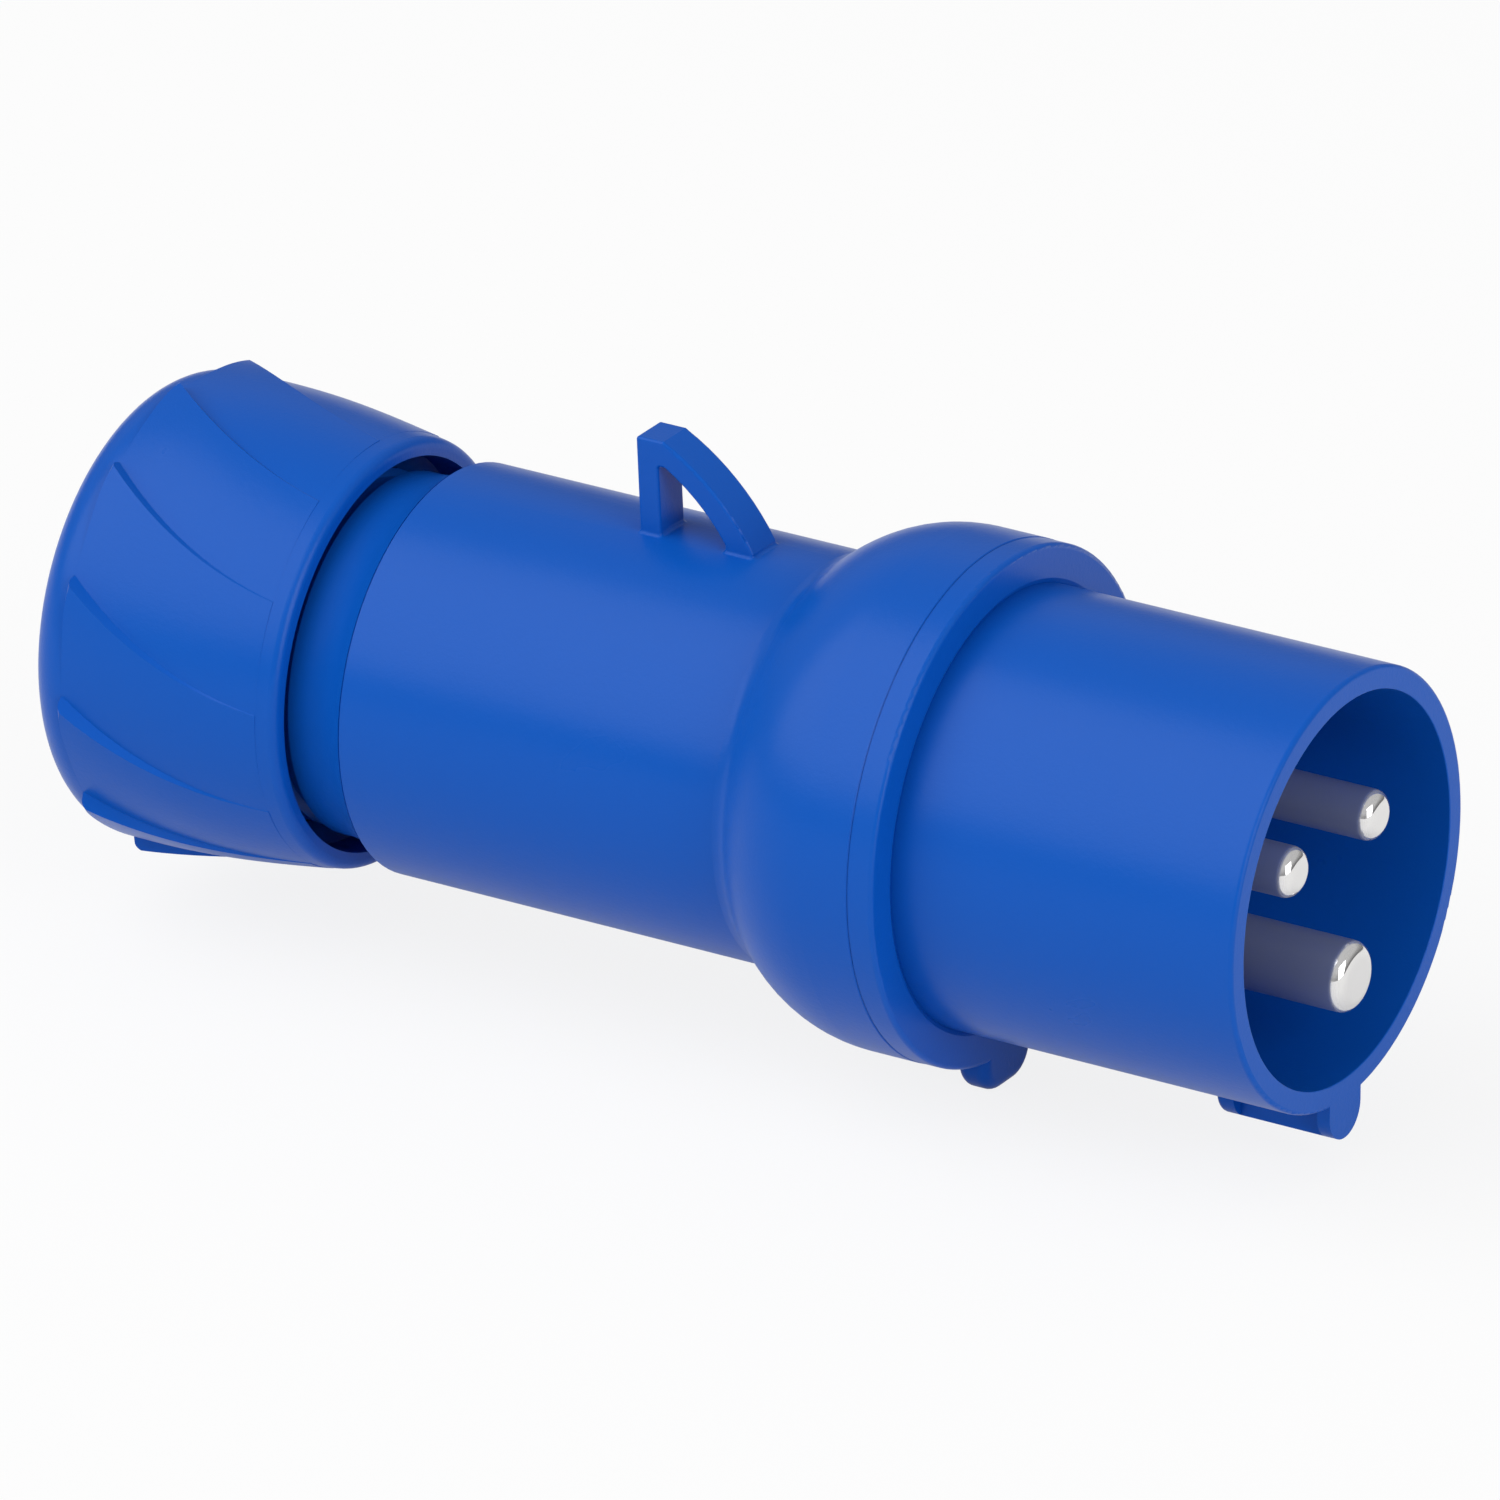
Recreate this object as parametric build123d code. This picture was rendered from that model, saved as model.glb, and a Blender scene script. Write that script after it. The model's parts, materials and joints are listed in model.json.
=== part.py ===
from build123d import *
import math
import os

# Industrial pin and sleeve plug, 16 A, two poles and earth.
# Millimetres. +X runs along the plug axis to the open mouth, +Z points to the
# hanging loop, and the origin is on the axis in the flange's front face.

# Sleeve, floor and flange
sleeve_outer_r = 21.65
sleeve_wall = 2.32
sleeve_length = 36.7
mouth_edge_r = 0.45
mouth_bore_edge_r = 0.12
floor_height = 1.5
floor_thickness = 3.5
flange_r = 25.5
flange_thickness = 2.6
flange_edge_r = 0.5
root_groove_depth = 0.25
root_groove_width = 0.5

# Polarising key under the mouth and latch lug under the flange
key_width = 5.8
key_drop = 3.85
key_length = 12.5
key_rear_block = 2.0
key_front_block = 1.4
key_recess = 1.5
key_rear_edge_r = 0.6
lug_width = 8.8
lug_drop = 3.35
lug_corner_r = 3.2
lug_length = 3.4
lug_edge_r = 1.1

# Spigot behind the flange, with its seal groove and bayonet lugs
spigot_wall = 2.4
spigot_length = 9.4
seal_land_length = 2.7
seal_section_r = 0.75
seal_squeeze = 0.1
seal_groove_width = 1.6
bayonet_count = 3
bayonet_lug_angle = 24.0
bayonet_lug_length = 2.3
bayonet_lug_height = 1.2
bayonet_lug_start = 8.5
bayonet_rib_angle = 27.0
bayonet_rib_length = 2.2

# Contact pins, their shanks in the floor and their wire barrels
pin_pitch_r = 8.8
pin_tip_r = 1.4
phase_pin_r = 2.5
earth_pin_r = 3.5
phase_pin_set_back = 0.73
earth_pin_overhang = 1.27
phase_barrel_r = 4.2
earth_barrel_r = 4.8
phase_wire_hole_r = 2.4
earth_wire_hole_r = 2.9
pin_collar_extra = 0.9
pin_collar_thickness = 1.8
pin_boss_wall = 1.2
pin_shank_extra = 0.3
pin_shank_ahead = 0.3
barrel_length = 17.2
wire_hole_depth = 12.0

# Terminal screws and pressure plates
terminal_screw_r = 1.95
terminal_head_r = 2.9
terminal_head_height = 2.6
terminal_screw_back = 7.0
screw_slot_width = 0.8
screw_slot_depth = 1.1
plate_thickness = 0.5
plate_length = 7.0
plate_width_phase = 3.0
plate_width_earth = 3.8

# Insulating contact carrier and its screws
boss_height = 3.0
carrier_disc_thickness = 5.2
carrier_hub_r = 3.0
carrier_wall = 1.8
carrier_wall_reach = 16.6
carrier_wall_length = 16.1
carrier_screw_count = 3
carrier_screw_inset = 3.8
carrier_screw_turn = 72.0
carrier_screw_r = 1.45
carrier_head_r = 2.6
carrier_head_height = 1.9
carrier_screw_bite = 5.5
screw_boss_r = 2.8

# Rear housing: collar, dome, grip barrel, neck
collar_step = 0.05
collar_length = 5.4
collar_wall = 2.35
dome_r = 15.5
dome_root_r = 2.5
barrel_r = 20.25
barrel_wall = 2.5
barrel_end = 62.26
barrel_seam = 0.16
cone_r = 17.9
flare_end = 68.2
cone_end = 69.5
neck_r = 16.7
neck_end = 86.0
neck_bore_r = 14.4
neck_edge = 0.8
seal_seat_thickness = 2.2
seal_seat_r = 9.5
funnel_land = 1.0
funnel_start = 2.2
key_groove_depth = 1.1
key_groove_width = 3.0

# Hanging loop on top of the rear housing, seen from the side
loop_half_width = 2.2
loop_rear = 39.7
loop_rear_lean = 0.5
loop_top = 29.95
loop_post = 2.3
loop_flat_end = 37.2
loop_front = 27.2
loop_outer_bow = 0.95
loop_strip = 2.2
loop_corner_r = 0.3
loop_edge_r = 0.3
loop_root_r = 0.4

# Gland nut with its swirl of saw-tooth grips
nut_front = 68.93
nut_lip_edge_r = 1.0
nut_lip_bore_r = 19.5
nut_lip_bore_depth = 4.0
nut_thread_end = 88.0
nut_bore_lead = 1.5
nut_cavity_r = 15.6
nut_side_bow_r = 140.0
nut_max_r = 23.03
nut_shoulder_x = 92.06
nut_shoulder_r = 4.56
nut_rear_wall = 2.2
nut_entry_r = 9.6
nut_entry_edge_r = 1.4
grip_count = 12
grip_first_angle = 2.2
grip_start = 71.0
grip_end = 91.9
grip_height = 1.25
grip_growth = 1.7
grip_start_height = 0.05
grip_foot_rise = 0.006
grip_face_turn = 2.2
grip_face_start = 0.3
grip_hollow = 0.25
grip_turn_linear = 0.275
grip_turn_square = 0.032
grip_end_round = 0.7
grip_stations = 8

# Cable seal, clamp cage and thrust washer
cable_seal_length = 6.8
cable_seal_split_r = 6.6
cable_seal_bore_r = 4.3
cable_seal_lead = 0.8
seal_squeeze_room = 2.7
cage_ring_length = 3.4
cage_bore_r = 8.4
cage_finger_count = 8
cage_finger_wall = 2.2
cage_finger_taper = 0.6
cage_slot_width = 1.8
cage_tooth_depth = 0.7
washer_thickness = 1.1
washer_bore_r = 9.9

# Clearances
joint_gap = 0.15
running_gap = 0.3
snug_gap = 0.05
thread_depth = 0.9
spigot_gap = 1.6
carrier_gap = 0.4
bayonet_gap = 0.4
blend = 0.1

# Derived places along the axis, measured backwards from the flange face
floor_rear = floor_thickness - floor_height
boss_rear = floor_rear + boss_height
collar_front = flange_thickness + joint_gap
dome_start = collar_front + collar_length - joint_gap
carrier_front = boss_rear + snug_gap
carrier_rear = carrier_front + carrier_disc_thickness
pin_collar_front = boss_rear + snug_gap
barrel_rear = pin_collar_front + pin_collar_thickness + barrel_length
terminal_screw_x = barrel_rear - terminal_screw_back
seal_seat_rear = cone_end + 0.2
seal_front = seal_seat_rear + snug_gap
seal_rear = seal_front + cable_seal_length
cage_front = seal_rear + seal_squeeze_room
nut_rear = nut_shoulder_x + nut_shoulder_r
nut_cavity_end = nut_rear - nut_rear_wall
washer_rear = nut_cavity_end - snug_gap
washer_front = washer_rear - washer_thickness
cage_rear = washer_front - snug_gap
spigot_rear = flange_thickness + spigot_length
pin_boss_front = floor_height + pin_boss_wall

# Derived radii, measured from the axis
sleeve_inner_r = sleeve_outer_r - sleeve_wall
key_reach = sleeve_outer_r + key_drop
lug_reach = flange_r + lug_drop
collar_r = flange_r + collar_step
collar_bore_r = collar_r - collar_wall
seal_land_r = collar_bore_r - running_gap
spigot_outer_r = collar_bore_r - spigot_gap
spigot_inner_r = spigot_outer_r - spigot_wall
carrier_disc_r = spigot_inner_r - carrier_gap
carrier_screw_pcr = carrier_disc_r - carrier_screw_inset
barrel_bore_r = barrel_r - barrel_wall
nut_bore_r = neck_r + thread_depth


def polar(radius, degrees):
    """A point across the axis: degrees run from +Y towards +Z."""
    turn = math.radians(degrees)
    return radius * math.cos(turn), radius * math.sin(turn)


def spin(points):
    """A solid of revolution from (distance behind the flange, radius) points."""
    outline = [(-back, radius) for back, radius in points]
    return revolve(make_face(Polyline(*outline, close=True)), Axis.X)


def ring(front, rear, inner_r, outer_r):
    """A plain ring between two places behind the flange."""
    return spin([(front, inner_r), (front, outer_r), (rear, outer_r), (rear, inner_r)])


def rod(front, rear, radius, across=(0.0, 0.0)):
    """A round bar along the axis, centred at a point across it."""
    start = Plane(origin=(-rear, across[0], across[1]), x_dir=(0, 1, 0), z_dir=(1, 0, 0))
    return extrude(start * Circle(radius), rear - front)


def across_plane(back):
    """A drawing plane square to the axis, its x along +Y and its y along +Z."""
    return Plane(origin=(-back, 0, 0), x_dir=(0, 1, 0), z_dir=(1, 0, 0))


def sector(front, rear, inner_r, outer_r, middle, span):
    """A stretch of ring that spans an angle about its middle."""
    inner = [polar(inner_r, middle + span * share) for share in (-0.5, 0.0, 0.5)]
    outer = [polar(outer_r, middle + span * share) for share in (0.5, 0.0, -0.5)]
    outline = ThreePointArc(*inner) + Line(inner[2], outer[0])
    outline += ThreePointArc(*outer) + Line(outer[2], inner[0])
    return extrude(across_plane(rear) * make_face(outline), rear - front)


def radial_plane(back, degrees, radius):
    """A plane whose normal points outwards at an angle about the axis."""
    y, z = polar(1.0, degrees)
    return Plane(origin=(-back, radius * y, radius * z), x_dir=(1, 0, 0), z_dir=(0, y, z))


# Contact pins


class Pole:
    """The sizes of one contact and its terminal."""

    def __init__(self, name, angle, pin_r, tip_ahead, barrel_radius, wire_hole_r, plate_width):
        self.name = name
        self.angle = angle
        self.pin_r = pin_r
        self.shank_r = pin_r + pin_shank_extra
        self.tip = sleeve_length + tip_ahead
        self.barrel_r = barrel_radius
        self.collar_r = barrel_radius + pin_collar_extra
        self.wire_hole_r = wire_hole_r
        self.plate_width = plate_width
        self.centre = polar(pin_pitch_r, angle)
        half_plate = plate_width / 2 + snug_gap
        self.plate_top = math.sqrt(wire_hole_r ** 2 - half_plate ** 2) - snug_gap


poles = [
    Pole("line", 150.0, phase_pin_r, -phase_pin_set_back, phase_barrel_r, phase_wire_hole_r,
         plate_width_phase),
    Pole("neutral", 30.0, phase_pin_r, -phase_pin_set_back, phase_barrel_r, phase_wire_hole_r,
         plate_width_phase),
    Pole("earth", -90.0, earth_pin_r, earth_pin_overhang, earth_barrel_r, earth_wire_hole_r,
         plate_width_earth),
]


def contact_pin(pole):
    """A turned pin with a rounded nose, a trapped collar and a wire barrel."""
    nose = pole.tip - pin_tip_r
    flat = pole.pin_r - pin_tip_r
    arc_x = nose + pin_tip_r * math.sin(math.radians(45))
    arc_r = flat + pin_tip_r * math.cos(math.radians(45))
    collar_rear = -(pin_collar_front + pin_collar_thickness)
    shank_front = pin_boss_front + pin_shank_ahead
    outline = Polyline((-barrel_rear, 0), (-barrel_rear, pole.barrel_r),
                       (collar_rear, pole.barrel_r), (collar_rear, pole.collar_r),
                       (-pin_collar_front, pole.collar_r), (-pin_collar_front, pole.shank_r),
                       (shank_front, pole.shank_r), (shank_front, pole.pin_r),
                       (nose, pole.pin_r))
    outline += ThreePointArc((nose, pole.pin_r), (arc_x, arc_r), (pole.tip, flat))
    outline += Polyline((pole.tip, flat), (pole.tip, 0), (-barrel_rear, 0))
    pin = revolve(make_face(outline), Axis.X)
    pin -= rod(barrel_rear - wire_hole_depth, barrel_rear + 1, pole.wire_hole_r)
    pin = Pos(0, *pole.centre) * pin
    hole = radial_plane(terminal_screw_x, pole.angle, pin_pitch_r)
    return pin - extrude(hole * Circle(terminal_screw_r + snug_gap), pole.barrel_r + 1)


def terminal_screw(pole):
    """A slotted cheese-head screw that stands outwards from its barrel."""
    tip = pin_pitch_r + pole.plate_top + snug_gap
    seat = pin_pitch_r + pole.barrel_r + snug_gap
    shank = extrude(radial_plane(terminal_screw_x, pole.angle, tip) * Circle(terminal_screw_r),
                    seat - tip)
    top = seat + terminal_head_height
    head = extrude(radial_plane(terminal_screw_x, pole.angle, seat) * Circle(terminal_head_r),
                   terminal_head_height)
    head = chamfer(head.edges().filter_by(GeomType.CIRCLE).sort_by_distance(
        (-terminal_screw_x, *polar(top * 2, pole.angle)))[0], 0.3)
    slot = radial_plane(terminal_screw_x, pole.angle, top - screw_slot_depth)
    slot_cut = extrude(slot * Rectangle(terminal_head_r * 3, screw_slot_width), screw_slot_depth * 2)
    return shank + head - slot_cut


def pressure_plate(pole):
    """The strip under the screw tip that spreads its force on the wire."""
    foot = pin_pitch_r + pole.plate_top - plate_thickness
    strip = radial_plane(terminal_screw_x, pole.angle, foot)
    return extrude(strip * Rectangle(plate_length, pole.plate_width), plate_thickness)


# Front shroud


def shroud_shell():
    """Sleeve, floor, flange and spigot as one turned form."""
    seal_rear_x = flange_thickness + seal_land_length
    shell = spin([
        (-sleeve_length, sleeve_inner_r), (-sleeve_length, sleeve_outer_r),
        (root_groove_depth, sleeve_outer_r), (0, sleeve_outer_r + root_groove_width),
        (0, flange_r), (flange_thickness, flange_r), (flange_thickness, seal_land_r),
        (seal_rear_x, seal_land_r), (seal_rear_x, spigot_outer_r),
        (spigot_rear, spigot_outer_r),
        (spigot_rear, spigot_inner_r), (floor_rear, spigot_inner_r), (floor_rear, 0),
        (-floor_height, 0), (-floor_height, sleeve_inner_r),
    ])
    for place, edge_r in ((-1, mouth_edge_r), (0, mouth_bore_edge_r)):
        mouth = shell.edges().filter_by(GeomType.CIRCLE).group_by(Axis.X)[-1]
        shell = fillet(mouth.sort_by(SortBy.RADIUS)[place], edge_r)
    rim = [edge for edge in shell.edges().filter_by(GeomType.CIRCLE)
           if abs(edge.radius - flange_r) < 0.01 and edge.center().X > -0.01]
    shell = fillet(rim, flange_edge_r)
    seal_mid = flange_thickness + seal_land_length / 2
    groove_bottom = seal_land_r + seal_squeeze - 2 * seal_section_r - snug_gap
    return shell - ring(seal_mid - seal_groove_width / 2, seal_mid + seal_groove_width / 2,
                        groove_bottom, seal_land_r + 1)


def polarising_key():
    """A rib under the mouth, round below, with both sides relieved between its ends."""
    half = key_width / 2
    centre_z = -(key_reach - half)
    top_z = -(sleeve_inner_r + sleeve_wall / 2)
    section = Polyline((-half, top_z), (-half, centre_z))
    section += ThreePointArc((-half, centre_z), (0, -key_reach), (half, centre_z))
    section += Polyline((half, centre_z), (half, top_z), (-half, top_z))
    rear = -(sleeve_length - key_length)
    key = extrude(across_plane(rear) * make_face(section), key_length)
    rear_edges = key.edges().group_by(Axis.X)[0].sort_by(Axis.Z)[:-1]
    key = fillet(rear_edges, key_rear_edge_r)
    relief_rear = -rear + key_rear_block
    relief_front = sleeve_length - key_front_block
    relief_mid = (relief_rear + relief_front) / 2
    for side in (-1, 1):
        middle = (relief_mid, side * half, -key_reach)
        relief = Box(relief_front - relief_rear, 2 * key_recess, 2 * (key_reach - sleeve_outer_r))
        key -= Pos(*middle) * relief
    return key


def latch_lug():
    """The lug under the flange that the socket's sprung lid hooks behind."""
    outline = RectangleRounded(lug_width, lug_reach, lug_corner_r)
    block = extrude(across_plane(lug_length) * Pos(0, -lug_reach / 2) * outline, lug_length)
    ends = block.edges().group_by(Axis.X)
    block = fillet(ends[0] + ends[-1], lug_edge_r)
    keep_out = rod(-1, lug_length + 1, flange_r - 1)
    collar_room = ring(flange_thickness, lug_length + 1, 0, collar_r + running_gap)
    return block - keep_out - collar_room


def front_shroud():
    """The shroud with its key, lug, bosses, pin holes and bayonet lugs."""
    body = shroud_shell() + polarising_key() + latch_lug()
    for pole in poles:
        hole_r = pole.shank_r + snug_gap
        boss_r = hole_r + pin_boss_wall
        body += rod(floor_rear - 0.5, boss_rear, boss_r, pole.centre)
        body += rod(-pin_boss_front, -floor_height, boss_r, pole.centre)
        body -= rod(-pin_boss_front - 1, boss_rear + 1, hole_r, pole.centre)
    for step in range(carrier_screw_count):
        place = polar(carrier_screw_pcr, carrier_screw_turn + step * 360 / carrier_screw_count)
        body += rod(floor_rear - 0.5, boss_rear, screw_boss_r, place)
        depth = boss_rear - carrier_screw_bite - running_gap
        body -= rod(depth, boss_rear + 1, carrier_screw_r + snug_gap, place)
    for step in range(bayonet_count):
        middle = 90 + step * 360 / bayonet_count
        body += sector(bayonet_lug_start, bayonet_lug_start + bayonet_lug_length,
                       spigot_outer_r - 0.5, spigot_outer_r + bayonet_lug_height,
                       middle, bayonet_lug_angle)
    return body


def front_seal():
    """The ring that seals the joint between the shroud and the rear housing."""
    centre_r = seal_land_r + seal_squeeze - seal_section_r
    seal_mid = flange_thickness + seal_land_length / 2
    return revolve(Pos(-seal_mid, centre_r) * Circle(seal_section_r), Axis.X)


# Contact carrier


def contact_carrier():
    """The insulating disc that traps the pins, with three walls between the terminals."""
    carrier = ring(carrier_front, carrier_rear, 0, carrier_disc_r)
    carrier += rod(carrier_rear - 0.5, carrier_rear + carrier_wall_length, carrier_hub_r)
    length = carrier_wall_length + 0.5
    middle_x = -(carrier_rear - 0.5 + length / 2)
    for pole in poles:
        wall = Box(length, carrier_wall_reach, carrier_wall)
        placed = Pos(middle_x, carrier_wall_reach / 2, 0) * wall
        carrier += Rot(pole.angle + 180, 0, 0) * placed
        seat_rear = pin_collar_front + pin_collar_thickness + snug_gap
        carrier -= rod(carrier_front - 1, seat_rear, pole.collar_r + blend, pole.centre)
        carrier -= rod(carrier_front - 1, carrier_rear + 1, pole.barrel_r + blend, pole.centre)
    for step in range(carrier_screw_count):
        place = polar(carrier_screw_pcr, carrier_screw_turn + step * 360 / carrier_screw_count)
        carrier -= rod(carrier_front - 1, carrier_rear + 1, carrier_screw_r + blend, place)
    return carrier


def carrier_screw(step):
    """A slotted pan-head screw that clamps the carrier to the shroud's bosses."""
    place = polar(carrier_screw_pcr, carrier_screw_turn + step * 360 / carrier_screw_count)
    shank = rod(boss_rear - carrier_screw_bite, carrier_rear + snug_gap, carrier_screw_r, place)
    head_rear = carrier_rear + snug_gap + carrier_head_height
    head = rod(carrier_rear + snug_gap, head_rear, carrier_head_r, place)
    head = fillet(head.edges().filter_by(GeomType.CIRCLE).sort_by(Axis.X)[0], 0.7)
    slot = Pos(-head_rear, *place) * Box(screw_slot_depth * 2, carrier_head_r * 3, screw_slot_width)
    return shank + head - slot


# Rear housing


def housing_shell():
    """Collar, dome, grip barrel, cone and neck as one hollow turned form."""
    dome_centre_r = collar_r - dome_r
    root_centre_r = barrel_r + dome_root_r
    reach = dome_r + dome_root_r
    root_back = dome_start + math.sqrt(reach ** 2 - (root_centre_r - dome_centre_r) ** 2)
    lean = math.atan2(root_centre_r - dome_centre_r, root_back - dome_start)
    meet = (dome_start + dome_r * math.cos(lean), dome_centre_r + dome_r * math.sin(lean))
    dome_turn = (math.pi / 2 + lean) / 2
    dome_mid = (dome_start + dome_r * math.cos(dome_turn),
                dome_centre_r + dome_r * math.sin(dome_turn))
    root_mid = (root_back - dome_root_r * math.cos(dome_turn),
                root_centre_r - dome_root_r * math.sin(dome_turn))
    seam_r = barrel_r - barrel_seam
    shoulder_r = barrel_r - barrel_seam / 2
    flare_start = barrel_end + barrel_seam
    flare_run = flare_end - flare_start
    flare_drop = shoulder_r - cone_r
    flare_bow_r = (flare_run ** 2 + flare_drop ** 2) / (2 * flare_drop)
    half_turn = math.asin(flare_run / flare_bow_r) / 2
    flare_mid = (flare_end - flare_bow_r * math.sin(half_turn),
                 cone_r + flare_bow_r * (1 - math.cos(half_turn)))

    def at(point):
        return -point[0], point[1]

    outer = Polyline((-collar_front, collar_bore_r), (-collar_front, collar_r - blend),
                     (-collar_front - blend, collar_r), (-dome_start, collar_r))
    outer += ThreePointArc((-dome_start, collar_r), at(dome_mid), at(meet))
    outer += ThreePointArc(at(meet), at(root_mid), (-root_back, barrel_r))
    outer += Polyline((-root_back, barrel_r), (-barrel_end, barrel_r), (-barrel_end, seam_r),
                      (-flare_start, seam_r), (-flare_start, shoulder_r))
    outer += ThreePointArc((-flare_start, shoulder_r), at(flare_mid), (-flare_end, cone_r))
    outer += Polyline((-flare_end, cone_r), (-cone_end, cone_r),
                      (-cone_end, neck_r), (-neck_end + neck_edge, neck_r),
                      (-neck_end, neck_r - neck_edge), (-neck_end, neck_bore_r))
    seat_front = seal_seat_rear - seal_seat_thickness
    funnel_end = seat_front - funnel_land
    outer += Polyline((-neck_end, neck_bore_r), (-seal_seat_rear, neck_bore_r),
                      (-seal_seat_rear, seal_seat_r), (-seat_front, seal_seat_r),
                      (-seat_front, neck_bore_r), (-funnel_end, neck_bore_r),
                      (-barrel_end + funnel_start, barrel_bore_r), (-root_back, barrel_bore_r),
                      (-spigot_rear - neck_edge, collar_bore_r), (-collar_front, collar_bore_r))
    return revolve(make_face(outer), Axis.X)


def hanging_loop():
    """A quarter-bow loop: an upright post at the rear and a bowed strip to the front."""
    rear_foot = (-loop_rear, barrel_r - 1.0)
    rear_top = (-loop_rear - loop_rear_lean, loop_top)
    flat_end = (-loop_flat_end, loop_top)
    front_foot = (-loop_front, barrel_r + 0.35)
    outer_mid = bowed_middle(flat_end, front_foot, loop_outer_bow)
    outline = Polyline(rear_foot, rear_top, flat_end)
    outline += ThreePointArc(flat_end, outer_mid, front_foot)
    outline += Polyline(front_foot, (-loop_front, rear_foot[1]), rear_foot)
    side = Plane(origin=(0, loop_half_width, 0), x_dir=(1, 0, 0), z_dir=(0, -1, 0))
    block = extrude(side * make_face(outline), 2 * loop_half_width)
    corner = block.edges().filter_by(Axis.Y).group_by(Axis.Z)[-1].sort_by(Axis.X)[0]
    block = fillet(corner, loop_corner_r)
    loop = block - loop_window(side)
    rims = [edge for edge in loop.edges() if on_loop_side(edge)]
    return fillet(rims, loop_edge_r)


def on_loop_side(edge):
    """Whether an edge lies in one of the loop's two side faces, clear of its buried foot."""
    start, middle, end = [edge.position_at(share) for share in (0.0, 0.5, 1.0)]
    flat = abs(start.Y - end.Y) < 0.001
    return flat and abs(abs(middle.Y) - loop_half_width) < 0.001 and middle.Z > barrel_r - 0.9


def bowed_middle(start, end, bow):
    """The middle of an arc that stands a given height off its chord, on the upper side."""
    run_x = end[0] - start[0]
    run_z = end[1] - start[1]
    length = math.hypot(run_x, run_z)
    middle_x = (start[0] + end[0]) / 2 - bow * run_z / length
    middle_z = (start[1] + end[1]) / 2 + bow * run_x / length
    return middle_x, middle_z


def loop_window(side):
    """The hole in the loop: straight at the post, bowed along the strip."""
    slope = loop_rear_lean / (loop_top - barrel_r)
    low = barrel_r - 2.0
    post_low = (-loop_rear + loop_post + slope * (barrel_r - low), low)
    top_z = loop_top - loop_strip - 0.45
    post_top = (-loop_rear - slope * (top_z - barrel_r) + loop_post, top_z)
    strip_top = (-loop_flat_end + 0.15, top_z)
    strip_low = (-loop_front - loop_strip * 1.43, barrel_r + 0.6)
    mid = bowed_middle(strip_top, strip_low, loop_outer_bow * 0.55)
    outline = Polyline(strip_low, (strip_low[0], low), post_low, post_top, strip_top)
    outline += ThreePointArc(strip_top, mid, strip_low)
    window = extrude(side * make_face(outline), 2 * loop_half_width)
    corners = window.edges().filter_by(Axis.Y).group_by(Axis.Z)[-1]
    return fillet(corners, 0.3)


def at_loop_root(edge):
    """Whether an edge lies where a foot of the loop meets the barrel."""
    middle = edge.position_at(0.5)
    on_barrel = abs(math.hypot(middle.Y, middle.Z) - barrel_r) < 0.02
    over_loop = abs(middle.Y) < loop_half_width + 0.1 and middle.Z > 0
    between_feet = loop_front - 1 < -middle.X < loop_rear + 1
    return on_barrel and over_loop and between_feet


def rear_housing():
    """The housing with its loop, bayonet ribs and the clamp cage's key grooves."""
    bore = ring(dome_start, barrel_end, 0, barrel_bore_r + 0.5)
    body = housing_shell() + (hanging_loop() - bore)
    roots = [edge for edge in body.edges() if at_loop_root(edge)]
    body = fillet(roots, loop_root_r)
    rib_rear = bayonet_lug_start - running_gap
    rib_inner = spigot_outer_r + bayonet_gap
    for step in range(bayonet_count):
        body += sector(rib_rear - bayonet_rib_length, rib_rear, rib_inner, collar_bore_r + 0.5,
                       90 + step * 360 / bayonet_count, bayonet_rib_angle)
    groove_front = seal_rear - running_gap
    length = neck_end + 1 - groove_front
    for side in (-1, 1):
        groove = Box(length, neck_bore_r, key_groove_width)
        reach = side * (neck_bore_r / 2 + key_groove_depth)
        body -= Pos(-groove_front - length / 2, reach, 0) * groove
    return body


# Gland: seal, clamp cage, thrust washer and nut


def cable_seal_outer():
    """The outer rubber sleeve of the cable seal."""
    return ring(seal_front, seal_rear, cable_seal_split_r + snug_gap, neck_bore_r - blend)


def cable_seal_inner():
    """The inner rubber sleeve, pulled out for thick cables, with a lead-in at its rear."""
    return spin([(seal_front, cable_seal_bore_r), (seal_front, cable_seal_split_r),
                 (seal_rear, cable_seal_split_r),
                 (seal_rear, cable_seal_bore_r + cable_seal_lead),
                 (seal_rear - cable_seal_lead, cable_seal_bore_r)])


def clamp_cage():
    """A ring with two keys and eight sprung fingers that close on the cable."""
    outer_r = neck_bore_r - running_gap
    ring_rear = cage_front + cage_ring_length
    tip_r = outer_r - cage_finger_taper
    inner_r = tip_r - cage_finger_wall
    cage = spin([(cage_front, cage_bore_r), (cage_front, outer_r), (ring_rear, outer_r),
                 (cage_rear, tip_r), (cage_rear, inner_r - cage_tooth_depth),
                 (cage_rear - 0.9, inner_r - cage_tooth_depth), (cage_rear - 1.6, inner_r),
                 (cage_rear - 2.4, inner_r - cage_tooth_depth), (cage_rear - 3.2, inner_r),
                 (ring_rear, inner_r), (ring_rear, cage_bore_r)])
    slot_length = cage_rear - ring_rear - 0.6
    for step in range(cage_finger_count):
        slot = Box(slot_length + 2, outer_r * 1.5, cage_slot_width)
        middle_x = -(cage_rear + 1 - slot_length / 2 - 0.5)
        placed = Pos(middle_x, outer_r * 0.75 + cage_bore_r * 0.5, 0) * slot
        cage -= Rot((step + 0.5) * 360 / cage_finger_count, 0, 0) * placed
    key_width_free = key_groove_width - 2 * running_gap
    for side in (-1, 1):
        reach = neck_bore_r + key_groove_depth - running_gap
        key = Box(cage_ring_length, 2.0, key_width_free)
        cage += Pos(-(cage_front + cage_ring_length / 2), side * (reach - 1.0), 0) * key
    return cage


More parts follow.
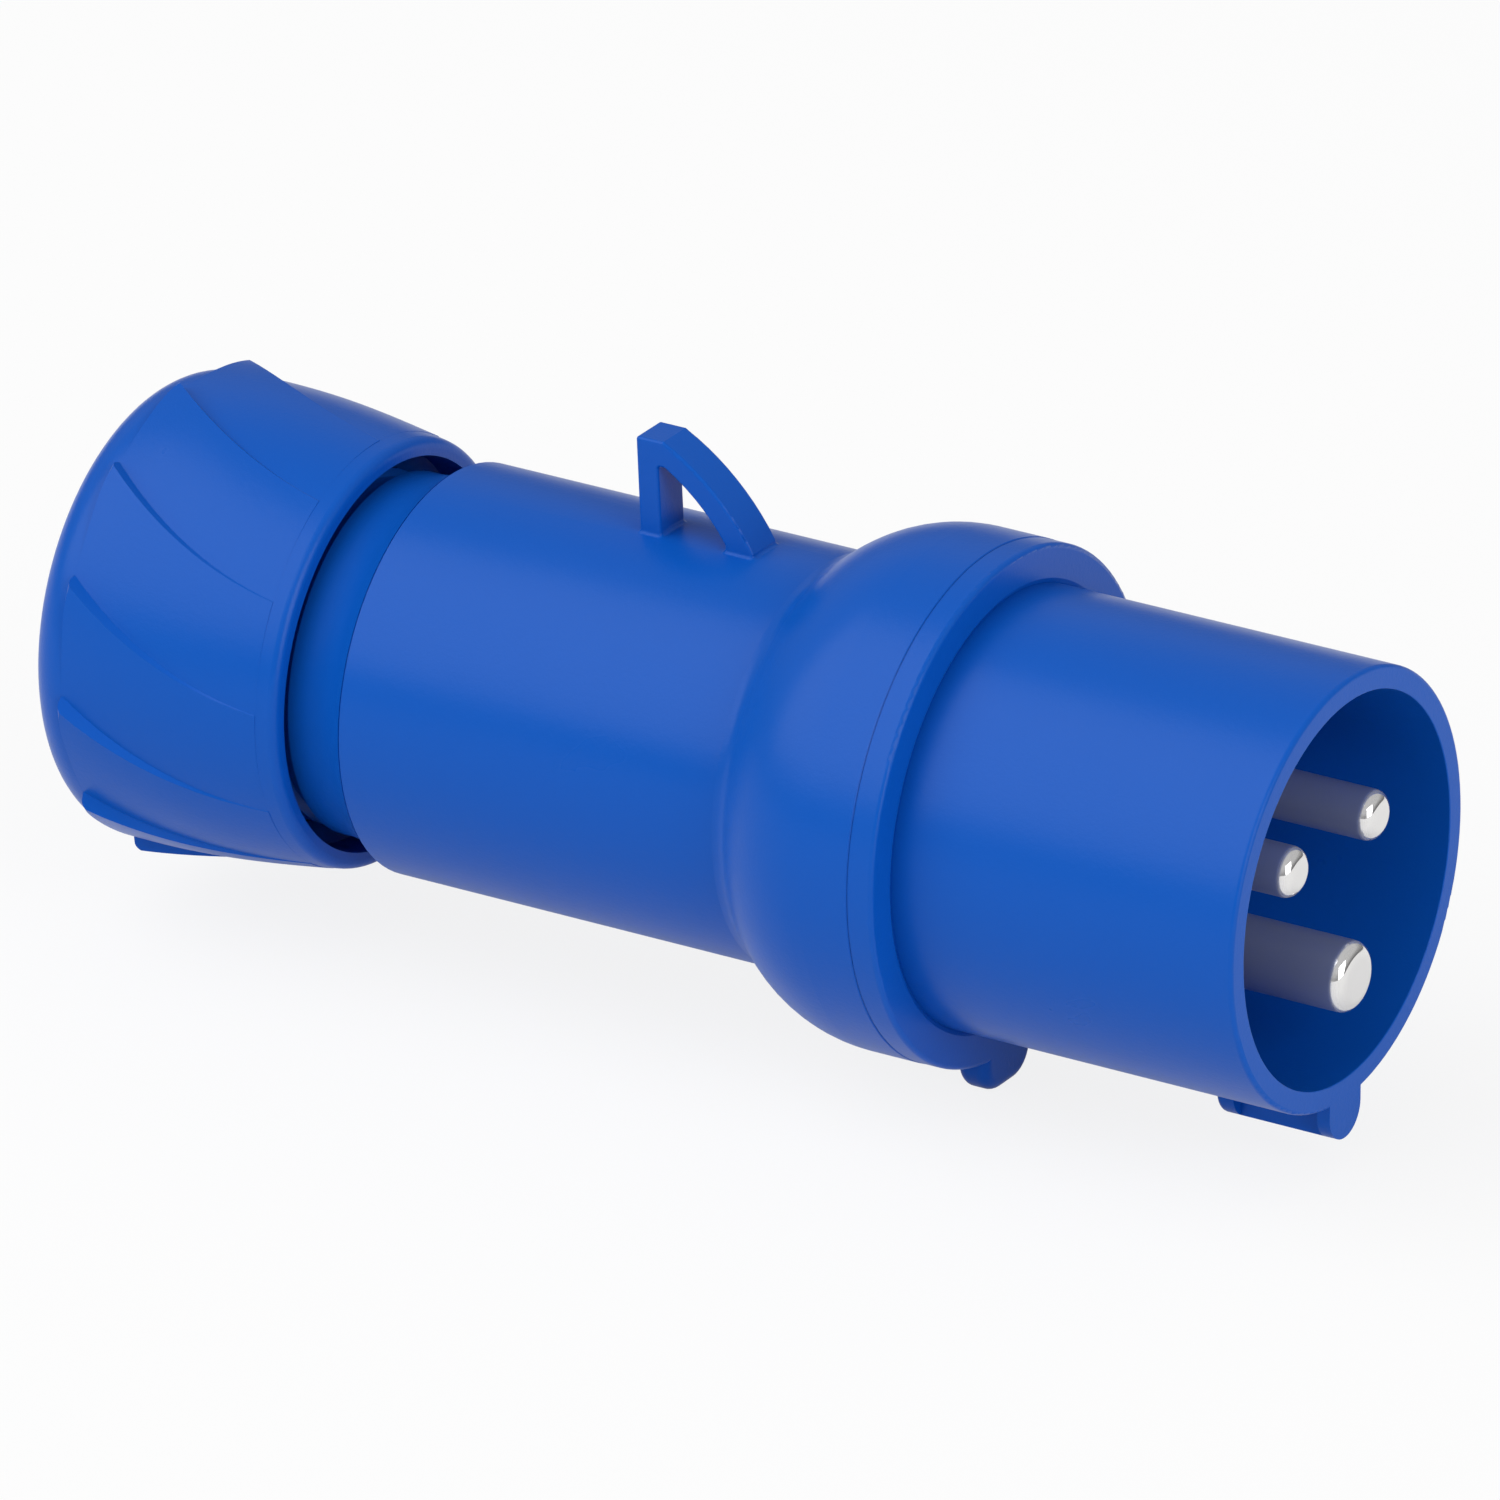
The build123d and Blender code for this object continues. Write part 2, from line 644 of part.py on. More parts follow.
def thrust_washer():
    """The slip washer between the fingers and the turning nut."""
    return ring(washer_front, washer_rear, washer_bore_r, nut_cavity_r - running_gap)


def nut_side_radius(back):
    """The nut's radius between its grips, a long bow from lip to shoulder."""
    drop = nut_shoulder_x - back
    return nut_max_r - nut_side_bow_r + math.sqrt(nut_side_bow_r ** 2 - drop ** 2)


def grip_share(back):
    """How far along the grips a place is, 0 at their start and 1 at their blunt end."""
    return (back - grip_start) / (grip_end - grip_start)


def grip_section(back):
    """The nut's saw-tooth outline square to the axis at one place."""
    share = grip_share(back)
    rise = share ** grip_growth
    height = grip_start_height + (grip_height - grip_start_height) * rise
    face = grip_face_start + (grip_face_turn - grip_face_start) * rise
    foot_r = nut_side_radius(back) + grip_foot_rise
    run = back - nut_front
    turn = grip_first_angle + grip_turn_linear * run + grip_turn_square * run ** 2
    pitch = 360 / grip_count
    edges = []
    for step in range(grip_count):
        crest = 180 - (turn + step * pitch)
        ramp_turn = pitch - face
        ramp = [polar(foot_r, crest + ramp_turn),
                polar(foot_r + height * grip_hollow, crest + ramp_turn / 2),
                polar(foot_r + height, crest)]
        edges.append((ramp, polar(foot_r, crest - face)))
    return edges


def grip_wire(back):
    """One closed saw-tooth wire: ramp, step, ramp, step, all the way round."""
    plane = across_plane(back)
    parts = []
    for ramp, foot in grip_section(back):
        start, middle, crest = [plane.from_local_coords(point) for point in ramp]
        parts.append(Edge.make_three_point_arc(start, middle, crest))
        parts.append(Edge.make_line(crest, plane.from_local_coords(foot)))
    return Wire(parts)


def swirl_grips():
    """The saw-tooth band, turned along its length and rounded where it ends."""
    step = (grip_end - grip_start) / (grip_stations - 1)
    wires = [grip_wire(grip_start + step * index) for index in range(grip_stations)]
    band = Solid.make_loft(wires)
    top_r = nut_side_radius(grip_end) + grip_height + grip_foot_rise
    cut_r = top_r - grip_end_round
    bend = -grip_end + grip_end_round
    bulge = grip_end_round * math.sin(math.radians(45))
    envelope = Polyline((-grip_start + 1, 0), (-grip_start + 1, top_r + 1), (bend, top_r + 1),
                        (bend, top_r))
    envelope += ThreePointArc((bend, top_r), (bend - bulge, cut_r + bulge), (-grip_end, cut_r))
    envelope += Polyline((-grip_end, cut_r), (-grip_end - 1, cut_r), (-grip_end - 1, 0),
                         (-grip_start + 1, 0))
    return band & revolve(make_face(envelope), Axis.X)


def gland_nut():
    """The nut: a bowed barrel with swirl grips, a rounded rear and a wide front bore."""
    lip_r = nut_side_radius(nut_front)
    mid_back = (grip_start + nut_front) / 2
    grip_front_r = nut_side_radius(grip_start)
    grip_rear_r = nut_side_radius(grip_end)
    lip = Polyline((-nut_front, 0), (-nut_front, lip_r))
    lip += ThreePointArc((-nut_front, lip_r), (-mid_back, nut_side_radius(mid_back)),
                         (-grip_start, grip_front_r))
    lip += Polyline((-grip_start, grip_front_r), (-grip_start, 0), (-nut_front, 0))
    front = revolve(make_face(lip), Axis.X)
    front = fillet(front.edges().filter_by(GeomType.CIRCLE).sort_by(Axis.X)[-1], nut_lip_edge_r)
    diagonal = nut_shoulder_r * math.sin(math.radians(45))
    shoulder_centre_r = nut_max_r - nut_shoulder_r
    tail_mid = (grip_end + nut_shoulder_x) / 2
    tail = Polyline((-grip_end, 0), (-grip_end, grip_rear_r))
    tail += ThreePointArc((-grip_end, grip_rear_r), (-tail_mid, nut_side_radius(tail_mid)),
                          (-nut_shoulder_x, nut_max_r))
    tail += ThreePointArc((-nut_shoulder_x, nut_max_r),
                          (-nut_shoulder_x - diagonal, shoulder_centre_r + diagonal),
                          (-nut_rear, shoulder_centre_r))
    tail += Polyline((-nut_rear, shoulder_centre_r), (-nut_rear, 0), (-grip_end, 0))
    rear = revolve(make_face(tail), Axis.X)
    lip_bore_end = nut_front + nut_lip_bore_depth
    mouth_r = nut_entry_r + nut_entry_edge_r
    bore = spin([(nut_front - 1, 0), (nut_front - 1, nut_lip_bore_r),
                 (lip_bore_end, nut_lip_bore_r), (lip_bore_end + nut_bore_lead, nut_bore_r),
                 (nut_thread_end, nut_bore_r), (nut_thread_end + nut_bore_lead, nut_cavity_r),
                 (nut_cavity_end, nut_cavity_r), (nut_cavity_end, nut_entry_r),
                 (nut_rear - nut_entry_edge_r, nut_entry_r), (nut_rear + 0.01, mouth_r),
                 (nut_rear + 1, mouth_r), (nut_rear + 1, 0)])
    return front + swirl_grips() + rear - bore


def build_all():
    """Every piece under the name of its node."""
    pieces = {
        "front_shroud": front_shroud(),
        "front_seal_ring": front_seal(),
        "contact_carrier": contact_carrier(),
        "rear_housing": rear_housing(),
        "cable_seal_outer": cable_seal_outer(),
        "cable_seal_inner": cable_seal_inner(),
        "clamp_cage": clamp_cage(),
        "thrust_washer": thrust_washer(),
        "gland_nut": gland_nut(),
    }
    for pole in poles:
        pieces[pole.name + "_pin"] = contact_pin(pole)
        pieces[pole.name + "_terminal_screw"] = terminal_screw(pole)
        pieces[pole.name + "_pressure_plate"] = pressure_plate(pole)
    for step in range(carrier_screw_count):
        pieces["carrier_screw_" + str(step + 1)] = carrier_screw(step)
    return pieces


os.makedirs("parts", exist_ok=True)
for name, solid in build_all().items():
    export_step(solid, "parts/" + name + ".step")
    print(name, len(solid.solids()), round(solid.volume, 1))
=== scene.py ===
"""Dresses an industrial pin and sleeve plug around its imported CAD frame.

Every length is in metres in the frame's own axes: +X runs along the plug to the
open mouth, +Z points to the hanging loop, and the origin lies on the plug's axis
in the front face of the flange.
"""

import json
import logging
import math
from collections.abc import Callable
from dataclasses import dataclass
from enum import Enum

import bpy
from mathutils import Matrix, Vector


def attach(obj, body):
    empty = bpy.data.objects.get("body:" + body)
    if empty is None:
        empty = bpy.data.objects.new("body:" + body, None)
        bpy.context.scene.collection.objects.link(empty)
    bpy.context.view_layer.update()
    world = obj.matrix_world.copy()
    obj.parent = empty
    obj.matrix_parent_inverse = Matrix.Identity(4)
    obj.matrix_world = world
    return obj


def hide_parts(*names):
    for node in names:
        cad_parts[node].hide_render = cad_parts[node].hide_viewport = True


logging.basicConfig(level=logging.INFO, format="%(message)s")
log = logging.getLogger("plug")

MM = 0.001
FULL_TURN = 2.0 * math.pi
SAME_PLACE = 1e-6
MERGE_DISTANCE = 0.000002
BEVEL_ABOVE_DEG = 50.0
FINE_GRAIN_SCALE = 5200.0
COARSE_GRAIN_SCALE = 1900.0
SMEAR_LOW = 0.3
SMEAR_HIGH = 0.7


class Body(Enum):
    """The bodies that pieces ride on."""

    HOUSING = "housing"
    FRONT = "front"
    NUT = "nut"


class Slot(Enum):
    """The record's material slots."""

    SHELL = "shell_blue"
    NICKEL = "contact_nickel"
    STEEL = "screw_steel"
    CARRIER = "carrier_grey"
    CLAMP = "clamp_grey"
    WASHER = "washer_white"
    RUBBER = "seal_rubber"


# Shared shader groups


def new_group(name: str, inputs: dict[str, object], outputs: dict[str, str]) -> bpy.types.NodeTree:
    """Makes an empty shader group with its sockets.

    Args:
        name: The group's name.
        inputs: Each input's name and default; a tuple makes a colour, a number a float.
        outputs: Each output's name and socket type.

    Returns:
        The group's node tree.
    """
    tree = bpy.data.node_groups.new(name, "ShaderNodeTree")
    for label, value in inputs.items():
        kind = "NodeSocketColor" if isinstance(value, tuple) else "NodeSocketFloat"
        socket = tree.interface.new_socket(label, in_out="INPUT", socket_type=kind)
        socket.default_value = value
    for label, kind in outputs.items():
        tree.interface.new_socket(label, in_out="OUTPUT", socket_type=kind)
    return tree


def add_node(tree: bpy.types.NodeTree, kind: str, **values: object) -> bpy.types.Node:
    """Adds a node and sets its inputs by name, or its properties where no input has the name.

    Args:
        tree: The tree that gets the node.
        kind: The node's type name.
        **values: Input or property values.

    Returns:
        The new node.
    """
    node = tree.nodes.new(kind)
    for key, value in values.items():
        label = key.replace("_", " ")
        if label in node.inputs:
            node.inputs[label].default_value = value
        else:
            setattr(node, key, value)
    return node


def grain_group() -> bpy.types.NodeTree:
    """The fine grain that a spark-eroded mould leaves, as a height.

    Returns:
        The group's node tree.
    """
    tree = new_group("mould_grain", {"Scale": 1.0}, {"Height": "NodeSocketFloat"})
    entry = tree.nodes.new("NodeGroupInput")
    leave = tree.nodes.new("NodeGroupOutput")
    place = add_node(tree, "ShaderNodeTexCoord")
    fine_scale = add_node(tree, "ShaderNodeMath", operation="MULTIPLY")
    fine_scale.inputs[1].default_value = FINE_GRAIN_SCALE
    coarse_scale = add_node(tree, "ShaderNodeMath", operation="MULTIPLY")
    coarse_scale.inputs[1].default_value = COARSE_GRAIN_SCALE
    fine = add_node(tree, "ShaderNodeTexNoise", Detail=2.0, Roughness=0.6)
    coarse = add_node(tree, "ShaderNodeTexNoise", Detail=1.0, Roughness=0.5)
    both = add_node(tree, "ShaderNodeMath", operation="ADD")
    tree.links.new(entry.outputs["Scale"], fine_scale.inputs[0])
    tree.links.new(entry.outputs["Scale"], coarse_scale.inputs[0])
    for noise, scale in ((fine, fine_scale), (coarse, coarse_scale)):
        tree.links.new(place.outputs["Object"], noise.inputs["Vector"])
        tree.links.new(scale.outputs[0], noise.inputs["Scale"])
    tree.links.new(fine.outputs["Fac"], both.inputs[0])
    tree.links.new(coarse.outputs["Fac"], both.inputs[1])
    tree.links.new(both.outputs[0], leave.inputs["Height"])
    return tree


def drift_group() -> bpy.types.NodeTree:
    """Slow drift of colour and roughness over a piece, as moulded and handled surfaces have.

    Returns:
        The group's node tree.
    """
    tree = new_group(
        "surface_drift",
        {"Colour": (0.5, 0.5, 0.5, 1.0), "Deep Colour": (0.4, 0.4, 0.4, 1.0), "Spread": 0.3,
         "Smooth": 0.4, "Rough": 0.5, "Scale": 60.0},
        {"Colour": "NodeSocketColor", "Roughness": "NodeSocketFloat"},
    )
    entry = tree.nodes.new("NodeGroupInput")
    leave = tree.nodes.new("NodeGroupOutput")
    place = add_node(tree, "ShaderNodeTexCoord")
    cloud = add_node(tree, "ShaderNodeTexNoise", Detail=3.0, Roughness=0.55)
    smear = add_node(tree, "ShaderNodeTexNoise", Detail=5.0, Roughness=0.6, Distortion=0.4)
    tint = add_node(tree, "ShaderNodeMath", operation="MULTIPLY")
    blend = add_node(tree, "ShaderNodeMix", data_type="RGBA")
    gloss = add_node(tree, "ShaderNodeMapRange")
    gloss.inputs["From Min"].default_value = SMEAR_LOW
    gloss.inputs["From Max"].default_value = SMEAR_HIGH
    colour_in = [socket for socket in blend.inputs if socket.type == "RGBA"]
    colour_out = [socket for socket in blend.outputs if socket.type == "RGBA"]
    tree.links.new(place.outputs["Object"], cloud.inputs["Vector"])
    tree.links.new(place.outputs["Object"], smear.inputs["Vector"])
    tree.links.new(entry.outputs["Scale"], cloud.inputs["Scale"])
    tree.links.new(entry.outputs["Scale"], smear.inputs["Scale"])
    tree.links.new(cloud.outputs["Fac"], tint.inputs[0])
    tree.links.new(entry.outputs["Spread"], tint.inputs[1])
    tree.links.new(tint.outputs[0], blend.inputs["Factor"])
    tree.links.new(entry.outputs["Colour"], colour_in[0])
    tree.links.new(entry.outputs["Deep Colour"], colour_in[1])
    tree.links.new(smear.outputs["Fac"], gloss.inputs["Value"])
    tree.links.new(entry.outputs["Smooth"], gloss.inputs["To Min"])
    tree.links.new(entry.outputs["Rough"], gloss.inputs["To Max"])
    tree.links.new(colour_out[0], leave.inputs["Colour"])
    tree.links.new(gloss.outputs["Result"], leave.inputs["Roughness"])
    return tree


def turned_group() -> bpy.types.NodeTree:
    """Fine rings round the X axis, as a lathe leaves on a turned pin.

    Returns:
        The group's node tree.
    """
    tree = new_group("turned_rings", {"Scale": 4000.0}, {"Height": "NodeSocketFloat"})
    entry = tree.nodes.new("NodeGroupInput")
    leave = tree.nodes.new("NodeGroupOutput")
    place = add_node(tree, "ShaderNodeTexCoord")
    split = add_node(tree, "ShaderNodeSeparateXYZ")
    rings = add_node(tree, "ShaderNodeTexNoise", noise_dimensions="1D", Detail=2.0, Roughness=0.7)
    tree.links.new(place.outputs["Object"], split.inputs[0])
    tree.links.new(split.outputs["X"], rings.inputs["W"])
    tree.links.new(entry.outputs["Scale"], rings.inputs["Scale"])
    tree.links.new(rings.outputs["Fac"], leave.inputs["Height"])
    return tree


@dataclass(frozen=True)
class Groups:
    """The shader groups that the finishes share."""

    grain: bpy.types.NodeTree
    drift: bpy.types.NodeTree
    turned: bpy.types.NodeTree


# Finishes


@dataclass(frozen=True)
class Finish:
    """One moulded, rubber or metal finish.

    Attributes:
        name: The material's name.
        colour: The main colour, linear.
        deep_colour: The colour it drifts towards.
        spread: How far it drifts, 0 to 1.
        smooth: The lowest roughness.
        rough: The highest roughness.
        metallic: 1 for metal.
        specular: The specular level.
        grain_scale: The grain's scale, 1 for the shell's.
        grain_depth: The bump distance of the grain in metres.
        drift_scale: The scale of the slow drift.
        turned: Whether lathe rings take the grain's place.
    """

    name: str
    colour: tuple[float, float, float]
    deep_colour: tuple[float, float, float]
    spread: float = 0.3
    smooth: float = 0.38
    rough: float = 0.5
    metallic: float = 0.0
    specular: float = 0.5
    grain_scale: float = 1.0
    grain_depth: float = 0.00001
    drift_scale: float = 45.0
    turned: bool = False

    def material(self, groups: Groups) -> bpy.types.Material:
        """Builds the finish's node material.

        Args:
            groups: The shared shader groups.

        Returns:
            The material.
        """
        made = bpy.data.materials.new(self.name)
        made.use_nodes = True
        tree = made.node_tree
        shader = tree.nodes["Principled BSDF"]
        shader.inputs["Metallic"].default_value = self.metallic
        shader.inputs["Specular IOR Level"].default_value = self.specular
        drift = tree.nodes.new("ShaderNodeGroup")
        drift.node_tree = groups.drift
        drift.inputs["Colour"].default_value = (*self.colour, 1.0)
        drift.inputs["Deep Colour"].default_value = (*self.deep_colour, 1.0)
        drift.inputs["Spread"].default_value = self.spread
        drift.inputs["Smooth"].default_value = self.smooth
        drift.inputs["Rough"].default_value = self.rough
        drift.inputs["Scale"].default_value = self.drift_scale
        texture = tree.nodes.new("ShaderNodeGroup")
        texture.node_tree = groups.turned if self.turned else groups.grain
        texture.inputs["Scale"].default_value = self.grain_scale
        bump = add_node(tree, "ShaderNodeBump", Strength=1.0, Distance=self.grain_depth)
        tree.links.new(drift.outputs["Colour"], shader.inputs["Base Color"])
        tree.links.new(drift.outputs["Roughness"], shader.inputs["Roughness"])
        tree.links.new(texture.outputs["Height"], bump.inputs["Height"])
        tree.links.new(bump.outputs["Normal"], shader.inputs["Normal"])
        return made


@dataclass(frozen=True)
class PinFinish:
    """Nickel plate that is dull along a contact's shank and polished on its nose, with painted
    shade and a painted blue reflection in the shank's colour.

    Attributes:
        name: The material's name.
        nose_x: Where the rounded nose starts, along X.
        shaded_shank_colour: The shank's colour, linear: the dull plate darkened as painted shade
            inside the sleeve and tinted blue as a painted reflection of its wall.
        nose_colour: The polished plate's colour, linear.
        shank_rough: The dull plate's roughness.
        nose_rough: The polished plate's roughness.
        shank_metal: How metallic the dull plate looks.
        edge: The length over which one turns into the other.
        polish: The length over which the nose turns fully metallic.
        ring_scale: The scale of the lathe rings.
        ring_depth: The bump distance of the lathe rings.
    """

    name: str
    nose_x: float
    # The shank's colour is painted shade inside the sleeve and a painted reflection of its blue
    # wall.
    shaded_shank_colour: tuple[float, float, float] = (0.32, 0.37, 0.56)
    nose_colour: tuple[float, float, float] = (0.86, 0.85, 0.84)
    shank_rough: float = 0.34
    nose_rough: float = 0.07
    shank_metal: float = 0.55
    edge: float = 0.00015
    polish: float = 0.0011
    ring_scale: float = 3500.0
    ring_depth: float = 0.000003

    def mixed(self, tree: bpy.types.NodeTree, mask: bpy.types.NodeSocket, low: float, high: float,
              target: bpy.types.NodeSocket) -> None:
        """Feeds a socket with one value on the shank and another on the nose.

        Args:
            tree: The material's node tree.
            mask: 0 on the shank and 1 on the nose.
            low: The shank's value.
            high: The nose's value.
            target: The socket that is fed.
        """
        span = add_node(tree, "ShaderNodeMapRange")
        span.inputs["To Min"].default_value = low
        span.inputs["To Max"].default_value = high
        tree.links.new(mask, span.inputs["Value"])
        tree.links.new(span.outputs["Result"], target)

    def material(self, groups: Groups) -> bpy.types.Material:
        """Builds the finish's node material.

        Args:
            groups: The shared shader groups.

        Returns:
            The material.
        """
        made = bpy.data.materials.new(self.name)
        made.use_nodes = True
        tree = made.node_tree
        shader = tree.nodes["Principled BSDF"]
        place = add_node(tree, "ShaderNodeTexCoord")
        split = add_node(tree, "ShaderNodeSeparateXYZ")
        nose = add_node(tree, "ShaderNodeMapRange")
        nose.inputs["From Min"].default_value = self.nose_x - self.edge
        nose.inputs["From Max"].default_value = self.nose_x + self.edge
        # Shank to nose: the shank's darker blue is painted shade and painted reflection, the nose
        # keeps the plate's own colour.
        tint = add_node(tree, "ShaderNodeMix", data_type="RGBA")
        colour_in = [socket for socket in tint.inputs if socket.type == "RGBA"]
        colour_in[0].default_value = (*self.shaded_shank_colour, 1.0)
        colour_in[1].default_value = (*self.nose_colour, 1.0)
        tree.links.new(place.outputs["Object"], split.inputs[0])
        tree.links.new(split.outputs["X"], nose.inputs["Value"])
        mask = nose.outputs["Result"]
        tree.links.new(mask, tint.inputs["Factor"])
        colour_out = [socket for socket in tint.outputs if socket.type == "RGBA"][0]
        tree.links.new(colour_out, shader.inputs["Base Color"])
        metal = add_node(tree, "ShaderNodeMapRange")
        metal.inputs["From Min"].default_value = self.nose_x + self.edge
        metal.inputs["From Max"].default_value = self.nose_x + self.polish
        tree.links.new(split.outputs["X"], metal.inputs["Value"])
        self.mixed(tree, metal.outputs["Result"], self.shank_metal, 1.0, shader.inputs["Metallic"])
        self.mixed(tree, mask, self.shank_rough, self.nose_rough, shader.inputs["Roughness"])
        rings = tree.nodes.new("ShaderNodeGroup")
        rings.node_tree = groups.turned
        rings.inputs["Scale"].default_value = self.ring_scale
        bump = add_node(tree, "ShaderNodeBump", Strength=1.0, Distance=self.ring_depth)
        tree.links.new(rings.outputs["Height"], bump.inputs["Height"])
        tree.links.new(bump.outputs["Normal"], shader.inputs["Normal"])
        return made


PIN_FINISHES = {
    "line_pin": PinFinish("nickel_line_pin", 34.87 * MM),
    "neutral_pin": PinFinish("nickel_neutral_pin", 34.87 * MM),
    "earth_pin": PinFinish("nickel_earth_pin", 36.87 * MM),
}

FINISHES = {
    Slot.SHELL: Finish("blue_moulding", (0.002, 0.0875, 0.46), (0.002, 0.082, 0.435), spread=0.3,
                       smooth=0.27, rough=0.33, specular=0.16),
    Slot.NICKEL: Finish("nickel_plate", (0.80, 0.80, 0.79), (0.72, 0.72, 0.72), smooth=0.08,
                        rough=0.16, metallic=1.0, grain_scale=3500.0, grain_depth=0.000004,
                        turned=True),
    Slot.STEEL: Finish("zinc_plate", (0.62, 0.62, 0.60), (0.50, 0.51, 0.52), smooth=0.25,
                       rough=0.4, metallic=1.0, grain_scale=0.6),
    Slot.CARRIER: Finish("grey_insulator", (0.05, 0.053, 0.06), (0.04, 0.043, 0.05)),
    Slot.CLAMP: Finish("grey_clamp", (0.27, 0.28, 0.29), (0.22, 0.23, 0.24)),
    Slot.WASHER: Finish("white_slip_ring", (0.74, 0.74, 0.70), (0.68, 0.68, 0.64), smooth=0.25,
                        rough=0.35),
    Slot.RUBBER: Finish("black_rubber", (0.012, 0.012, 0.013), (0.02, 0.02, 0.021), smooth=0.6,
                        rough=0.8, specular=0.3, grain_scale=0.5, grain_depth=0.00003),
}


# Studio


@dataclass(frozen=True)
class SoftLamp:
    """One square soft lamp.

    Attributes:
        name: The lamp's name.
        place: Its centre.
        side: The length of its side.
        power: Its power in watts.
    """

    name: str
    place: tuple[float, float, float]
    side: float
    power: float

    def hang(self, aim_at: tuple[float, float, float]) -> None:
        """Hangs the lamp in the scene.

        Args:
            aim_at: The point that it faces.
        """
        light = bpy.data.lights.new(self.name, "AREA")
        light.shape = "SQUARE"
        light.size = self.side
        light.energy = self.power
        lamp = bpy.data.objects.new(self.name, light)
        aim = Vector(aim_at) - Vector(self.place)
        turn = aim.to_track_quat("-Z", "Y").to_matrix().to_4x4()
        lamp.matrix_world = Matrix.Translation(self.place) @ turn
        bpy.context.scene.collection.objects.link(lamp)


@dataclass
class Studio:
    """The pale floor, the soft lamps and the camera at the fitted viewpoint.

    Attributes:
        camera_at: The camera's place.
        azimuth_deg: The side that it looks from, 0 for the front.
        elevation_deg: How high it looks from.
        lens_mm: Its focal length.
        sensor_mm: The width of its sensor.
        clip_near: The nearest thing that it shows.
        clip_far: The farthest thing that it shows.
        floor_z: The floor's height, at the lug's lowest point.
        floor_size: The length of the floor's side.
        paper: The floor's grey, linear.
        white_share: How much of the floor's plain white the camera sees.
        mirrored_share: How much of it reflections show.
        sky_low: The world's strength at the horizon.
        sky_high: The world's strength above.
        sky_full_at: The height at which it is reached, 1 for straight up.
        sky_mirrored: How much plain white the world adds to reflections.
        lamps_aim_at: The point on the plug's axis that the lamps face.
        lamps: The key lamp at the left and the fill lamp before the mouth.
    """

    camera_at: tuple[float, float, float] = (0.955239, -1.614082, 0.839714)
    azimuth_deg: float = 31.37
    elevation_deg: float = 23.97
    lens_mm: float = 522.4
    sensor_mm: float = 36.0
    clip_near: float = 0.05
    clip_far: float = 50.0
    floor_z: float = -0.02885
    floor_size: float = 12.0
    paper: float = 0.86
    white_share: float = 0.85
    mirrored_share: float = 0.35
    sky_low: float = 0.05
    sky_high: float = 0.45
    sky_full_at: float = 0.5
    sky_mirrored: float = 0.08
    lamps_aim_at: tuple[float, float, float] = (-0.03, 0.0, 0.0)
    lamps: tuple[SoftLamp, ...] = (
        SoftLamp("key_lamp", (-1.08, -1.19, 1.53), 2.6, 42.8),
        SoftLamp("fill_lamp", (2.08, -0.64, 0.8), 1.6, 26.5),
    )

    def camera(self) -> None:
        """Places the camera by its fitted azimuth and elevation."""
        azimuth = math.radians(self.azimuth_deg)
        elevation = math.radians(self.elevation_deg)
        right = Vector((math.cos(azimuth), math.sin(azimuth), 0.0))
        back = Vector((math.sin(azimuth) * math.cos(elevation),
                       -math.cos(azimuth) * math.cos(elevation), math.sin(elevation)))
        up = back.cross(right)
        turn = Matrix((right, up, back)).transposed()
        lens = bpy.data.cameras.new("photo_camera")
        lens.lens = self.lens_mm
        lens.sensor_width = self.sensor_mm
        lens.clip_start = self.clip_near
        lens.clip_end = self.clip_far
        camera = bpy.data.objects.new("photo_camera", lens)
        camera.matrix_world = Matrix.Translation(self.camera_at) @ turn.to_4x4()
        bpy.context.scene.collection.objects.link(camera)
        bpy.context.scene.camera = camera

    def white_mask(self, tree: bpy.types.NodeTree, seen: float,
                   mirrored: float) -> bpy.types.NodeSocket:
        """The share of plain white by ray: most to the camera, less in reflections, none else.

        Args:
            tree: The node tree that gets the mask.
            seen: The share that the camera sees.
            mirrored: The share in reflections and through glass.

        Returns:
            The mask's socket.
        """
        path = tree.nodes.new("ShaderNodeLightPath")
        mask = None
        shares = {"Is Camera Ray": seen, "Is Glossy Ray": mirrored,
                  "Is Transmission Ray": mirrored}
        for ray, share in shares.items():
            part = add_node(tree, "ShaderNodeMath", operation="MULTIPLY")
            part.inputs[1].default_value = share
            tree.links.new(path.outputs[ray], part.inputs[0])
            if mask is None:
                mask = part.outputs[0]
                continue
            either = add_node(tree, "ShaderNodeMath", operation="MAXIMUM")
            tree.links.new(mask, either.inputs[0])
            tree.links.new(part.outputs[0], either.inputs[1])
            mask = either.outputs[0]
        return mask

    def floor(self) -> None:
        """Lays a white floor that keeps the object's soft shadow."""
        bpy.ops.object.select_all(action="DESELECT")
        bpy.ops.mesh.primitive_plane_add(size=self.floor_size,
                                         location=(0.0, 0.0, self.floor_z))
        floor = bpy.context.object
        floor.name = "studio_floor"
        paint = bpy.data.materials.new("studio_paper")
        paint.use_nodes = True
        tree = paint.node_tree
        paper = tree.nodes["Principled BSDF"]
        paper.inputs["Base Color"].default_value = (self.paper, self.paper, self.paper, 1.0)
        paper.inputs["Roughness"].default_value = 1.0
        paper.inputs["Specular IOR Level"].default_value = 0.0
        white = add_node(tree, "ShaderNodeEmission", Strength=1.0)
        white.inputs["Color"].default_value = (1.0, 1.0, 1.0, 1.0)
        mix = tree.nodes.new("ShaderNodeMixShader")
        mask = self.white_mask(tree, self.white_share, self.mirrored_share)
        tree.links.new(mask, mix.inputs[0])
        tree.links.new(paper.outputs[0], mix.inputs[1])
        tree.links.new(white.outputs[0], mix.inputs[2])
        tree.links.new(mix.outputs[0], tree.nodes["Material Output"].inputs["Surface"])
        floor.data.materials.append(paint)

